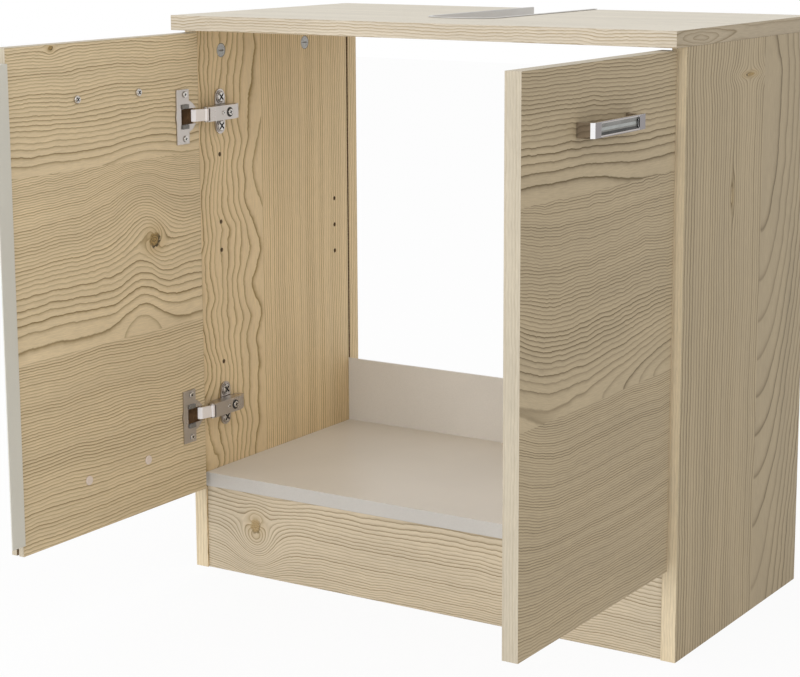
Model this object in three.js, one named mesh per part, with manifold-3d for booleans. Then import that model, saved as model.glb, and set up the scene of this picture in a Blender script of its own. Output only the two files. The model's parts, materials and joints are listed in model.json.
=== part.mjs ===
// Sink base cabinet for a small basin: two side panels that stand on the floor, a top panel with a
// rear-open siphon cut-out, a bottom shelf over a plinth, a low back strip and two hinged doors.
// Millimetres, +Z up, doors on the -Y side. The origin is the centre of the plinth's underside.
import * as THREE from 'three';
import { mergeVertices } from 'three/addons/utils/BufferGeometryUtils.js';
import Module from 'manifold-3d';

const wasm = await Module();
wasm.setup();

// Carcass
const cabinetWidth = 600;
const cabinetHeight = 625;
const sideDepth = 310;
const boardThickness = 16;
const topOverhang = 24; // top panel in front of the side panels
const topTail = 3; // top panel behind the side panels
const plinthHeight = 96;
const plinthRecess = 2;
const seatGap = 0.3; // clearance between a fitting and what carries it

// Back strip in its grooves
const stripThickness = 3;
const stripTop = 190;
const grooveWidth = 3.4;
const grooveDepth = 7;
const shelfGrooveDepth = 5;
const grooveFromRear = 18;

// Siphon cut-out and its clip-on edging
const cutoutWidth = 80;
const cutoutFront = 71; // behind the front edges of the side panels
const cutoutCorner = 28;
const edgingWall = 1.2;
const edgingLip = 3;
const edgingLipThickness = 0.8;

// Doors, measured closed
const doorReveal = 1; // door edge inside the outer face of the side panel
const doorMiddleGap = 3;
const doorTopGap = 3;
const doorStandoff = 2.5; // inner face in front of the side panels' edges
const openAngle = 90; // as the doors stand at rest
const axisInset = 9; // hinge axis inside the outer face of the side panel
const axisForward = 16.3; // hinge axis in front of the side panel's edge

// Closing strip on the left door
const closingTopGap = 14.5; // below the door's top edge
const closingBottomGap = 11.5; // above the door's bottom edge
const closingWidth = 19;
const closingOverlap = 1.5; // over the door's inner face
const closingThickness = 1.5;
const closingTongue = 7.5;
const tongueThickness = 2.4;

// Handles and their spare lower holes
const handleLength = 104;
const handleHeight = 14;
const handleProjection = 17;
const handleBevel = 3.3;
const handleLeg = 9;
const handleBar = 3.5;
const handleRecess = 2; // depth of the trough along the front
const handleRecessRim = 0.8;
const handleRecessEnd = 14.5;
const handlePitch = 96;
const handleDrop = 57; // hole line below the door's top edge
const handleScrewRadius = 2;
const handleScrewReach = 6; // into the leg
const panHeadRadius = 4.2;
const panHeadHeight = 2.2;
const capHeight = 56; // hole line above the door's bottom edge
const capRadius = 5;
const capThickness = 1.4;
const capPlugRadius = 2.4;
const capPlugLength = 9;

// Cup hinges
const hingeFromDoorEnd = 89;
const cupRadius = 17.5;
const cupCentre = 22.5; // from the door's hinge edge
const cupDepth = 11.2;
const cupWall = 0.8;
const flangeThickness = 1.2;
const flangeHeight = 59;
const flangeNear = 18; // straight sides of the flange, from the door's hinge edge
const flangeFar = 39;
const flangeWingNear = 6;
const flangeWingHeight = 18;
const flangeShoulder = 30;
const windowFar = 31.5;
const windowHeight = 17;
const cupScrewLine = 25;
const cupScrewPitch = 48;
const cupScrewRadius = 1.6;
const cupScrewLength = 9;
const cupScrewHead = 3.4;
const cupScrewHeadHeight = 1;

// Hinge arm, its link to the cup and the plate on the side panel
const linkPivotOff = 13; // off the side panel's inner face
const linkPivotForward = 2; // in front of the side panel's edge
const linkThickness = 1.8;
const linkHeight = 13;
const knuckleRadius = 2.6;
const pinRadius = 1.4;
const linkElbow = [8.5, 3]; // from the open door's hinge edge, and off its inner face
const linkTip = [11.5, -1];
const cupPinAlong = 3; // from the elbow, beside the link's outer leg
const armRear = 58; // behind the side panel's front edge
const armHeight = 16;
const armCheek = 1.2;
const armNoseRadius = 2.8;
const armTaper = 12;
const armTail = 7; // height of the arm's rear end off the plate's rib
const plateScrewLine = 37; // first hole line of the side panel
const plateScrewPitch = 32;
const plateWingWidth = 17;
const plateWingHeight = 50;
const plateThickness = 2;
const ribThickness = 4;
const ribHeight = 14;
const ribFront = 14;
const ribRear = 60;
const plateScrewRadius = 1.8;
const plateScrewLength = 12;
const plateScrewHead = 4.2;
const plateScrewHeadHeight = 1.6;

// Drilling of the side panels
const systemHoleRadius = 2.5;
const systemHoleDepth = 10;
const holeStep = 32;
const rearHoleSteps = 7; // second hole line behind the first
const camRadius = 7.5;
const camLength = 12.4;
const camDrop = 25; // below the top panel
const camSetback = 43;
const camPitch = 160;
const boltRadius = 2.6;
const boltReach = 10; // into the top panel
const boltSeat = 1.5; // lower end above the cam's axis
const boreClearance = 0.6;

// Worked out from the sizes above
const half = cabinetWidth / 2;
const innerHalf = half - boardThickness;
const front = -(plinthRecess + boardThickness / 2); // front edges of the side panels
const rear = front + sideDepth;
const sideHeight = cabinetHeight - boardThickness;
const shelfTop = plinthHeight + boardThickness;
const grooveRear = rear - grooveFromRear;
const grooveFront = grooveRear - grooveWidth;
const doorWidth = half - doorReveal - doorMiddleGap / 2;
const doorBottom = plinthHeight;
const doorTop = sideHeight - doorTopGap;
const edgeFromAxis = axisInset - doorReveal;
const faceFromAxis = axisForward - doorStandoff;
const hingeHeights = { upper: doorTop - hingeFromDoorEnd, lower: doorBottom + hingeFromDoorEnd };
const handleCentre = doorWidth / 2;
const flangeSide = seatGap + flangeThickness; // top of the cup's flange over the door's face

// The cup's pin lies across its near side, beside the outer leg of the link at rest.
const outerLeg = new THREE.Vector2(linkTip[0] - linkElbow[0], linkTip[1] - linkElbow[1]).normalize();
const cupPinOff = linkThickness / 2 + seatGap + pinRadius;
const cupPin = [
  linkElbow[0] + outerLeg.x * cupPinAlong + outerLeg.y * cupPinOff,
  linkElbow[1] + outerLeg.y * cupPinAlong - outerLeg.x * cupPinOff,
];

const colours = {
  pine: { color: 0xbeaa82, roughness: 0.55, metalness: 0 },
  shelf: { color: 0xb4a899, roughness: 0.5, metalness: 0 },
  greyEdging: { color: 0xc5c1bc, roughness: 0.45, metalness: 0 },
  nickel: { color: 0xc9c5bf, roughness: 0.28, metalness: 1 },
  chrome: { color: 0xd8d8d8, roughness: 0.08, metalness: 1 },
  zinc: { color: 0x9d9a92, roughness: 0.4, metalness: 1 },
  cap: { color: 0xd6cbb2, roughness: 0.5, metalness: 0 },
};

const solid = (geometry) => {
  const clean = geometry.clone();
  clean.deleteAttribute('normal');
  clean.deleteAttribute('uv');
  const merged = mergeVertices(clean, 1e-4);
  return new wasm.Manifold(new wasm.Mesh({
    numProp: 3,
    vertProperties: Float32Array.from(merged.attributes.position.array),
    triVerts: Uint32Array.from(merged.index.array),
  }));
};

const toGeometry = (shape) => {
  const { vertProperties, triVerts } = shape.getMesh();
  const indexed = new THREE.BufferGeometry();
  indexed.setAttribute('position', new THREE.BufferAttribute(Float32Array.from(vertProperties), 3));
  indexed.setIndex(new THREE.BufferAttribute(Uint32Array.from(triVerts), 1));
  const flat = indexed.toNonIndexed();
  flat.computeVertexNormals();
  return flat;
};

const join = (shapes) => shapes.reduce((whole, shape) => whole.add(shape));
const cut = (shape, tools) => tools.reduce((whole, tool) => whole.subtract(tool), shape);

// Boxes take two opposite corners of each axis in either order, so that a mirrored piece can use them.
const box = (xs, ys, zs) => {
  const size = [xs, ys, zs].map(([a, b]) => Math.abs(b - a));
  const centre = [xs, ys, zs].map(([a, b]) => (a + b) / 2);
  return solid(new THREE.BoxGeometry(...size).translate(...centre));
};

// A cylinder along one axis, from a to b on it; at holds its place on the other two, in X, Y, Z order.
const rod = (axis, radius, [a, b], at, sides = 16) => {
  const geometry = new THREE.CylinderGeometry(radius, radius, Math.abs(b - a), sides);
  const middle = (a + b) / 2;
  if (axis === 'x') geometry.rotateZ(Math.PI / 2).translate(middle, at[0], at[1]);
  if (axis === 'y') geometry.translate(at[0], middle, at[1]);
  if (axis === 'z') geometry.rotateX(Math.PI / 2).translate(at[0], at[1], middle);
  return solid(geometry);
};

const outline = (points) => new THREE.Shape(points.map(([x, y]) => new THREE.Vector2(x, y)));
const extrude = (shape, depth) =>
  new THREE.ExtrudeGeometry(shape, { depth, bevelEnabled: false, curveSegments: 10 });
const prismZ = (points, [z0, z1]) => solid(extrude(outline(points), z1 - z0).translate(0, 0, z0));
const prismY = (points, [y0, y1]) =>
  solid(extrude(outline(points), y1 - y0).rotateX(Math.PI / 2).translate(0, y1, 0));

// A flat bar between two points of the XY plane.
const bar = ([x0, y0], [x1, y1], thickness, height, z) => {
  const length = Math.hypot(x1 - x0, y1 - y0);
  const geometry = new THREE.BoxGeometry(length, thickness, height);
  geometry.rotateZ(Math.atan2(y1 - y0, x1 - x0));
  return solid(geometry.translate((x0 + x1) / 2, (y0 + y1) / 2, z));
};

const cabinet = new THREE.Group();

const add = (parent, name, shape, finish) => {
  const material = new THREE.MeshStandardMaterial(colours[finish]);
  const mesh = new THREE.Mesh(shape instanceof THREE.BufferGeometry ? shape : toGeometry(shape), material);
  mesh.name = name;
  parent.add(mesh);
};

const sides = { left: -1, right: 1 };
const camPlaces = [camSetback, camSetback + camPitch].map((setback) => front + setback);
const camHeight = sideHeight - camDrop;
const boltX = half - boardThickness / 2;
const screwHeights = (z) => [z + plateScrewPitch / 2, z - plateScrewPitch / 2];

// Side panels, with the bores for the cams and their bolts, the hinge plates and the spare holes
const plateScrewDepth = plateScrewLength - plateThickness;
const lowHole = screwHeights(hingeHeights.lower)[0];
const screwY = front + plateScrewLine;
const spareHoles = [
  [screwY, screwHeights(hingeHeights.upper)[1] - holeStep],
  ...[1, 5, 6].map((steps) => [screwY, lowHole + steps * holeStep]),
  ...[4, 5, 6].map((steps) => [screwY + rearHoleSteps * holeStep, lowHole + steps * holeStep]),
];

const sidePanel = (side) => {
  const inner = side * innerHalf;
  const into = (depth) => [inner - side, inner + side * depth];
  const cams = camPlaces.flatMap((y) => [
    rod('x', camRadius + boreClearance / 2, into(camLength + boreClearance), [y, camHeight], 24),
    rod('z', boltRadius + boreClearance / 2, [camHeight, sideHeight + 1], [side * boltX, y]),
  ]);
  const plateHoles = Object.values(hingeHeights).flatMap(screwHeights).map((z) =>
    rod('x', plateScrewRadius + seatGap, into(plateScrewDepth + boreClearance), [screwY, z]));
  const spares = spareHoles.map((place) => rod('x', systemHoleRadius, into(systemHoleDepth), place));
  const groove = box(into(grooveDepth), [grooveFront, grooveRear], [-1, sideHeight + 1]);
  const board = box([inner, side * half], [front, rear], [0, sideHeight]);
  return cut(board, [...cams, ...plateHoles, ...spares, groove]);
};

for (const [name, side] of Object.entries(sides)) add(cabinet, `${name}_side_panel`, sidePanel(side), 'pine');

// Top panel and the edging clipped into its cut-out
const cutoutPath = (inset, rearEnd) => {
  const reach = cutoutWidth / 2 - inset;
  const corner = cutoutCorner - inset;
  const frontEnd = front + cutoutFront + inset;
  const path = new THREE.Path();
  path.moveTo(-reach, rearEnd);
  path.lineTo(-reach, frontEnd + corner);
  path.absarc(-reach + corner, frontEnd + corner, corner, Math.PI, 1.5 * Math.PI);
  path.lineTo(reach - corner, frontEnd);
  path.absarc(reach - corner, frontEnd + corner, corner, 1.5 * Math.PI, 2 * Math.PI);
  path.lineTo(reach, rearEnd);
  return path.getPoints(10).map(({ x, y }) => [x, y]);
};

const topRear = rear + topTail;
const topPanel = () => {
  const board = box([-half, half], [front - topOverhang, topRear], [sideHeight, cabinetHeight]);
  const opening = prismZ(cutoutPath(0, topRear + 1), [sideHeight - 1, cabinetHeight + 1]);
  const boltBores = Object.values(sides).flatMap((side) => camPlaces.map((y) =>
    rod('z', boltRadius + boreClearance / 2, [sideHeight - 1, sideHeight + boltReach + boreClearance],
      [side * boltX, y])));
  return cut(board, [opening, ...boltBores]);
};

const edging = () => {
  const band = (outer, heights) => {
    const inner = cutoutPath(seatGap + edgingWall, topRear).reverse();
    return prismZ([...cutoutPath(outer, topRear), ...inner], heights);
  };
  const low = sideHeight - seatGap;
  const high = cabinetHeight + seatGap;
  return join([
    band(seatGap, [low, high]),
    band(-edgingLip, [high, high + edgingLipThickness]),
    band(-edgingLip, [low - edgingLipThickness, low]),
  ]);
};

add(cabinet, 'top_panel', topPanel(), 'pine');
add(cabinet, 'cutout_edging', edging(), 'greyEdging');

// Cams in the side panels and the bolts that tie the top panel down to them
for (const [name, side] of Object.entries(sides)) {
  ['front', 'rear'].forEach((place, i) => {
    const y = camPlaces[i];
    const mouth = side * innerHalf;
    const body = rod('x', camRadius, [mouth, mouth + side * camLength], [y, camHeight], 24);
    const neck = rod('z', boltRadius + seatGap, [camHeight, camHeight + camRadius + 1], [side * boltX, y]);
    const slot = box([mouth - side, mouth + side * 1.2], [y - 4, y + 4], [camHeight - 0.6, camHeight + 0.6]);
    add(cabinet, `${name}_${place}_cam`, cut(body, [neck, slot]), 'zinc');
    const ends = [camHeight + boltSeat, sideHeight + boltReach];
    add(cabinet, `${name}_${place}_cam_bolt`, rod('z', boltRadius, ends, [side * boltX, y], 16), 'zinc');
  });
}

// Bottom shelf, plinth and back strip
const shelf = cut(
  box([-innerHalf, innerHalf], [front, rear], [plinthHeight, shelfTop]),
  [box([-half, half], [grooveFront, grooveRear], [shelfTop - shelfGrooveDepth, shelfTop + 1])],
);
add(cabinet, 'bottom_shelf', shelf, 'shelf');

const plinthFront = front + plinthRecess;
const plinth = new THREE.BoxGeometry(2 * innerHalf, boardThickness, plinthHeight);
plinth.translate(0, plinthFront + boardThickness / 2, plinthHeight / 2);
add(cabinet, 'plinth', plinth, 'pine');

const stripHalf = innerHalf + grooveDepth - seatGap;
const stripMiddle = (grooveFront + grooveRear) / 2;
const backStrip = box(
  [-stripHalf, stripHalf],
  [stripMiddle - stripThickness / 2, stripMiddle + stripThickness / 2],
  [shelfTop - shelfGrooveDepth + seatGap, stripTop],
);
add(cabinet, 'back_strip', backStrip, 'shelf');

// Hinge plates, their screws and the arms, fixed to the side panels
const armAndPlate = (name, side, level, z) => {
  const x = (off) => side * (innerHalf - off);
  const wingZ = plateWingHeight / 2 - plateWingWidth / 2;
  const wing = (end) => rod('x', plateWingWidth / 2, [x(0), x(plateThickness)], [screwY, z + end * wingZ], 24);
  const sole = box([x(0), x(plateThickness)], [screwY - plateWingWidth / 2, screwY + plateWingWidth / 2],
    [z - wingZ, z + wingZ]);
  const rib = box([x(0), x(ribThickness)], [front + ribFront, front + ribRear],
    [z - ribHeight / 2, z + ribHeight / 2]);
  const holes = screwHeights(z).map((height) =>
    rod('x', plateScrewRadius + seatGap, [x(-1), x(plateThickness + 1)], [screwY, height]));
  add(cabinet, `${name}_${level}_hinge_plate`, cut(join([wing(1), wing(-1), sole, rib]), holes), 'nickel');

  screwHeights(z).forEach((height, i) => {
    const seat = plateThickness + seatGap;
    const head = rod('x', plateScrewHead, [x(seat), x(seat + plateScrewHeadHeight)], [screwY, height], 20);
    const shank = rod('x', plateScrewRadius, [x(seat + plateScrewHeadHeight / 2), x(-plateScrewDepth)],
      [screwY, height], 12);
    add(cabinet, `${name}_${level}_plate_screw_${i + 1}`, join([head, shank]), 'nickel');
  });

  const pivotY = front - linkPivotForward;
  const top = linkPivotOff + armNoseRadius;
  const foot = ribThickness + seatGap;
  const bodyFront = pivotY + knuckleRadius + 2 * seatGap;
  const profile = [
    [foot, front + armRear], [foot + armTail, front + armRear], [top, front + armRear - armTaper],
    [top, bodyFront], [linkPivotOff - armNoseRadius, bodyFront], [foot, bodyFront + armNoseRadius],
  ].map(([off, y]) => [x(off), y]);
  const body = prismZ(profile, [z - armHeight / 2, z + armHeight / 2]);
  const cheekFrom = linkHeight / 2 + seatGap;
  const cheeks = [1, -1].flatMap((end) => {
    const heights = [z + end * cheekFrom, z + end * (cheekFrom + armCheek)].sort((a, b) => a - b);
    return [
      box([x(linkPivotOff - armNoseRadius), x(top)], [pivotY, bodyFront + armNoseRadius], heights),
      rod('z', armNoseRadius, heights, [x(linkPivotOff), pivotY]),
    ];
  });
  const reach = cheekFrom + armCheek + 1;
  const eye = rod('z', pinRadius + seatGap, [z - reach, z + reach], [x(linkPivotOff), pivotY]);
  add(cabinet, `${name}_${level}_hinge_arm`, cut(join([body, ...cheeks]), [eye]), 'nickel');
};

// Links, which swing on pins in the arms' noses; their far ends lie in the cups beside the cups' pins
const link = (name, side, level, z) => {
  const pivot = new THREE.Group();
  pivot.position.set(side * (innerHalf - linkPivotOff), front - linkPivotForward, z);
  const place = ([fromEdge, offFace]) => [
    side * (half - axisInset - faceFromAxis - offFace) - pivot.position.x,
    front - axisForward + edgeFromAxis - fromEdge - pivot.position.y,
  ];
  const elbow = place(linkElbow);
  const shape = join([
    rod('z', knuckleRadius, [-linkHeight / 2, linkHeight / 2], [0, 0]),
    rod('z', pinRadius, [-linkHeight / 2 - armCheek, linkHeight / 2 + armCheek], [0, 0], 16),
    bar([0, 0], elbow, linkThickness, linkHeight, 0),
    rod('z', linkThickness / 2, [-linkHeight / 2, linkHeight / 2], elbow, 16),
    bar(elbow, place(linkTip), linkThickness, linkHeight, 0),
  ]);
  add(pivot, `${name}_${level}_hinge_link`, shape, 'nickel');
  cabinet.add(pivot);
};

for (const [name, side] of Object.entries(sides)) {
  for (const [level, z] of Object.entries(hingeHeights)) {
    armAndPlate(name, side, level, z);
    link(name, side, level, z);
  }
}

// Doors. Each one is drawn closed in a group on its hinge axis, and the group is turned open.
// u runs from the door's hinge edge to its free edge, h from its inner face into the cabinet.
const doorFrame = (side) => ({
  x: (u) => side * (edgeFromAxis - u),
  y: (h) => faceFromAxis + h,
});
const handleHoles = [-1, 1].map((end) => handleCentre + (end * handlePitch) / 2);
const handleHeightLine = doorTop - handleDrop;
const capHeightLine = doorBottom + capHeight;

const door = (name, side) => {
  const { x, y } = doorFrame(side);
  const bores = Object.values(hingeHeights).flatMap((z) => [
    rod('y', cupRadius + seatGap, [y(1), y(-cupDepth - seatGap)], [x(cupCentre), z], 32),
    ...[-1, 1].map((end) => rod('y', cupScrewRadius + seatGap, [y(1), y(-cupScrewLength - seatGap)],
      [x(cupScrewLine), z + (end * cupScrewPitch) / 2], 16)),
  ]);
  const through = handleHoles.map((u) =>
    rod('y', handleScrewRadius + seatGap, [y(1), y(-boardThickness - 1)], [x(u), handleHeightLine], 16));
  const spare = handleHoles.map((u) =>
    rod('y', capPlugRadius + seatGap, [y(1), y(-capPlugLength - boreClearance)], [x(u), capHeightLine], 16));
  const board = box([x(0), x(doorWidth)], [y(-boardThickness), y(0)], [doorBottom, doorTop]);
  const middle = y(-boardThickness / 2);
  const grooveHalf = tongueThickness / 2 + seatGap;
  const groove = box([x(doorWidth - closingTongue - seatGap), x(doorWidth + 1)],
    [middle - grooveHalf, middle + grooveHalf], [doorBottom - 1, doorTop - closingTopGap]);
  return cut(board, [...bores, ...through, ...spare, ...(name === 'left' ? [groove] : [])]);
};

const closingStrip = (side) => {
  const { x, y } = doorFrame(side);
  const heights = [doorBottom + closingBottomGap, doorTop - closingTopGap - seatGap];
  const edge = doorWidth + seatGap;
  const inner = seatGap + closingThickness;
  const middle = -boardThickness / 2;
  const webEnd = edge + tongueThickness / 2;
  return join([
    box([x(doorWidth - closingOverlap), x(doorWidth - closingOverlap + closingWidth)],
      [y(seatGap), y(inner)], heights),
    box([x(edge), x(webEnd)], [y(middle - tongueThickness / 2), y(inner)], heights),
    box([x(doorWidth - closingTongue), x(webEnd)],
      [y(middle - tongueThickness / 2), y(middle + tongueThickness / 2)], heights),
  ]);
};

const handle = (side) => {
  const { x, y } = doorFrame(side);
  const end = handleLength / 2;
  const off = (w) => y(-boardThickness - w);
  const gapEnd = end - handleLeg;
  const gapTop = handleProjection - handleBar;
  const profile = [
    [-end, seatGap], [-end, handleProjection - handleBevel], [-end + handleBevel, handleProjection],
    [end - handleBevel, handleProjection], [end, handleProjection - handleBevel], [end, seatGap],
    [gapEnd, seatGap], [gapEnd, gapTop - handleBar], [gapEnd - handleBar, gapTop],
    [handleBar - gapEnd, gapTop], [-gapEnd, gapTop - handleBar], [-gapEnd, seatGap],
  ].map(([u, w]) => [x(handleCentre + u), off(w)]);
  const heights = [handleHeightLine - handleHeight / 2, handleHeightLine + handleHeight / 2];
  const recessEnd = end - handleRecessEnd;
  const chord = handleHeight / 2 - handleRecessRim;
  const recessRadius = (chord ** 2 + handleRecess ** 2) / (2 * handleRecess);
  const recess = rod('x', recessRadius, [x(handleCentre - recessEnd), x(handleCentre + recessEnd)],
    [off(handleProjection - handleRecess + recessRadius), handleHeightLine], 48);
  const threads = handleHoles.map((u) => rod('y', handleScrewRadius + seatGap,
    [off(0), off(handleScrewReach + boreClearance)], [x(u), handleHeightLine], 16));
  return cut(prismZ(profile, heights), [recess, ...threads]);
};

const handleScrew = (side, u) => {
  const { x, y } = doorFrame(side);
  const at = [x(u), handleHeightLine];
  return join([
    rod('y', panHeadRadius, [y(seatGap), y(seatGap + panHeadHeight)], at, 20),
    rod('y', handleScrewRadius, [y(1), y(-boardThickness - handleScrewReach)], at, 16),
  ]);
};

const coverCap = (side, u) => {
  const { x, y } = doorFrame(side);
  const at = [x(u), capHeightLine];
  return join([
    rod('y', capRadius, [y(seatGap), y(seatGap + capThickness)], at, 24),
    rod('y', capPlugRadius, [y(1), y(-capPlugLength)], at, 16),
  ]);
};

const hingeCup = (side, z) => {
  const { x, y } = doorFrame(side);
  const flange = [
    [flangeFar, -flangeHeight / 2], [flangeFar, flangeHeight / 2], [flangeNear, flangeHeight / 2],
    [flangeNear, flangeShoulder / 2], [flangeWingNear, flangeWingHeight / 2],
    [flangeWingNear, -flangeWingHeight / 2], [flangeNear, -flangeShoulder / 2],
    [flangeNear, -flangeHeight / 2],
  ].map(([u, v]) => [x(u), z + v]);
  const at = [x(cupCentre), z];
  const screwHoles = [-1, 1].map((end) => rod('y', cupScrewRadius + seatGap, [y(-1), y(flangeSide + 1)],
    [x(cupScrewLine), z + (end * cupScrewPitch) / 2], 16));
  const window = box([x(cupCentre - cupRadius - 1), x(windowFar)], [y(seatGap), y(flangeSide + 1)],
    [z - windowHeight / 2, z + windowHeight / 2]);
  const hollow = rod('y', cupRadius - cupWall, [y(cupWall - cupDepth), y(seatGap)], at, 32);
  const body = rod('y', cupRadius, [y(-cupDepth), y(flangeSide)], at, 32);
  const shell = cut(join([prismY(flange, [y(seatGap), y(flangeSide)]), body]), [hollow, window, ...screwHoles]);
  const pin = rod('z', pinRadius, [z - cupRadius, z + cupRadius], [x(cupPin[0]), y(cupPin[1])]);
  return join([shell, pin.intersect(body)]);
};

const cupScrew = (side, z) => {
  const { x, y } = doorFrame(side);
  const at = [x(cupScrewLine), z];
  const seat = flangeSide + seatGap;
  return join([
    rod('y', cupScrewHead, [y(seat), y(seat + cupScrewHeadHeight)], at, 20),
    rod('y', cupScrewRadius, [y(seat + cupScrewHeadHeight / 2), y(-cupScrewLength)], at, 12),
  ]);
};

for (const [name, side] of Object.entries(sides)) {
  const leaf = new THREE.Group();
  leaf.position.set(side * (half - axisInset), front - axisForward, 0);
  leaf.rotation.z = side * THREE.MathUtils.degToRad(openAngle);
  add(leaf, `${name}_door`, door(name, side), 'pine');
  add(leaf, `${name}_handle`, handle(side), 'chrome');
  handleHoles.forEach((u, i) => {
    add(leaf, `${name}_handle_screw_${i + 1}`, handleScrew(side, u), 'zinc');
    add(leaf, `${name}_cover_cap_${i + 1}`, coverCap(side, u), 'cap');
  });
  for (const [level, z] of Object.entries(hingeHeights)) {
    add(leaf, `${name}_${level}_hinge_cup`, hingeCup(side, z), 'nickel');
    [1, -1].forEach((end, i) => {
      const screw = cupScrew(side, z + (end * cupScrewPitch) / 2);
      add(leaf, `${name}_${level}_cup_screw_${i + 1}`, screw, 'nickel');
    });
  }
  if (name === 'left') add(leaf, 'closing_strip', closingStrip(side), 'greyEdging');
  cabinet.add(leaf);
}

export default cabinet;
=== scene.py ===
import json
from math import radians

import bpy
from mathutils import Matrix, Vector


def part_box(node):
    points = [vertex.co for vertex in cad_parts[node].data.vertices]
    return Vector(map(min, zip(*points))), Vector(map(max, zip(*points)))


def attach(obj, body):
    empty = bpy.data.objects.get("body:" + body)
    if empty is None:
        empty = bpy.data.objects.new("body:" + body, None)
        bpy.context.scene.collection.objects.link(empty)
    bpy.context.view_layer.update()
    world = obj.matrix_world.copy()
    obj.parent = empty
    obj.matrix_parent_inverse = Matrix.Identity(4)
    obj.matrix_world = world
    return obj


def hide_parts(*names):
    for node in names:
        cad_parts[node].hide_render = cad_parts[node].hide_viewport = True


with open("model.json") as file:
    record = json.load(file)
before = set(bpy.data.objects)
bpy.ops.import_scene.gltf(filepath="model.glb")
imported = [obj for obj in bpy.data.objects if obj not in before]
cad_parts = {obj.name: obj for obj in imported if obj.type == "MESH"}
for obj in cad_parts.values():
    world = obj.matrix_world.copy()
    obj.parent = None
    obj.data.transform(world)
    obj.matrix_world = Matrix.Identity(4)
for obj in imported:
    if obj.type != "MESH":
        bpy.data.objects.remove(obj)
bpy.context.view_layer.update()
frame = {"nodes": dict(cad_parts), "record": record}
nodes = frame["nodes"]
bodyOf = {node: body for body, members in frame["record"]["behaviour"]["bodies"].items() for node in members}
sides = {"left": -1, "right": 1}
levels = ("upper", "lower")
print("frame loaded")


# small helpers that add one node each
def feed(tree, socket, value):
    # a number or a colour is set on the socket, and another node's output is linked to it
    if isinstance(value, (int, float)):
        socket.default_value = value
    elif isinstance(value, tuple):
        socket.default_value = (*value, 1.0)
    else:
        tree.links.new(value, socket)


def calc(tree, operation, *values):
    node = tree.nodes.new("ShaderNodeMath")
    node.operation = operation
    for socket, value in zip(node.inputs, values):
        feed(tree, socket, value)
    return node.outputs[0]


def times(tree, result, *values):
    for value in values:
        result = calc(tree, "MULTIPLY", result, value)
    return result


def plus(tree, result, *values):
    for value in values:
        result = calc(tree, "ADD", result, value)
    return result


def minus(tree, a, b):
    return calc(tree, "SUBTRACT", a, b)


def over(tree, a, b):
    return calc(tree, "DIVIDE", a, b)


def lengthOf(tree, a, b):
    return calc(tree, "SQRT", plus(tree, times(tree, a, a), times(tree, b, b)))


def remap(tree, value, low, high, toLow=0.0, toHigh=1.0, smooth=True):
    node = tree.nodes.new("ShaderNodeMapRange")
    node.interpolation_type = "SMOOTHSTEP" if smooth else "LINEAR"
    for socket, item in zip(node.inputs, (value, low, high, toLow, toHigh)):
        feed(tree, socket, item)
    return node.outputs[0]


def vectorOf(tree, *values):
    node = tree.nodes.new("ShaderNodeCombineXYZ")
    for socket, value in zip(node.inputs, values):
        feed(tree, socket, value)
    return node.outputs[0]


def noise(tree, vector, detail=2.0, roughness=0.5):
    node = tree.nodes.new("ShaderNodeTexNoise")
    for label, value in (("Scale", 1.0), ("Detail", detail), ("Roughness", roughness), ("Vector", vector)):
        feed(tree, node.inputs[label], value)
    return node.outputs[0]


def mixColour(tree, factor, a, b):
    node = tree.nodes.new("ShaderNodeMix")
    node.data_type = "RGBA"
    for i, value in ((0, factor), (6, a), (7, b)):
        feed(tree, node.inputs[i], value)
    return node.outputs[2]


def vectorMath(tree, operation, first, label, second):
    node = tree.nodes.new("ShaderNodeVectorMath")
    node.operation = operation
    tree.links.new(first, node.inputs[0])
    tree.links.new(second, node.inputs[label])
    return node.outputs


def newGroup(name, inputs, outputs):
    tree = bpy.data.node_groups.new(name, "ShaderNodeTree")
    for label, value in inputs.items():
        socket = tree.interface.new_socket(label, in_out="INPUT", socket_type="NodeSocketFloat")
        socket.default_value = value
    for label in outputs:
        tree.interface.new_socket(label, in_out="OUTPUT", socket_type="NodeSocketFloat")
    return tree, tree.nodes.new("NodeGroupInput").outputs, tree.nodes.new("NodeGroupOutput").inputs


def placeGroup(tree, group, **values):
    node = tree.nodes.new("ShaderNodeGroup")
    node.node_tree = group
    for label, value in values.items():
        feed(tree, node.inputs[label], value)
    return node.outputs


def newMaterial(name, **settings):
    material = bpy.data.materials.new(name)
    material.use_nodes = True
    tree = material.node_tree
    shader = tree.nodes["Principled BSDF"]
    for label, value in settings.items():
        shader.inputs[label].default_value = value
    return material, tree, shader


def objectAxes(tree):
    coords = tree.nodes.new("ShaderNodeTexCoord").outputs["Object"]
    split = tree.nodes.new("ShaderNodeSeparateXYZ")
    tree.links.new(coords, split.inputs[0])
    return coords, dict(zip("xyz", split.outputs))


def bump(tree, shader, height, strength, distance):
    node = tree.nodes.new("ShaderNodeBump")
    for label, value in (("Strength", strength), ("Distance", distance), ("Height", height)):
        feed(tree, node.inputs[label], value)
    tree.links.new(node.outputs[0], shader.inputs["Normal"])


# what bends the pine's lines, from slow waves to fine jags, with scales per metre
bendLooks = {
    "wave": {"along": 7.5, "across": 8.0, "seed": 0.0, "by": "Wave", "gain": 4.0, "least": 0.0},
    "curl": {"along": 17.0, "across": 14.0, "seed": 9.0, "by": "Curl", "gain": 4.0, "least": 0.0},
    "wobble": {"along": 45.0, "across": 30.0, "seed": 7.0, "by": "Curl", "gain": 1.8, "least": 0.001},
    "jag": {"along": 210.0, "across": 90.0, "seed": 5.0, "by": "Curl", "gain": 0.35, "least": 0.0007},
}
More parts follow.
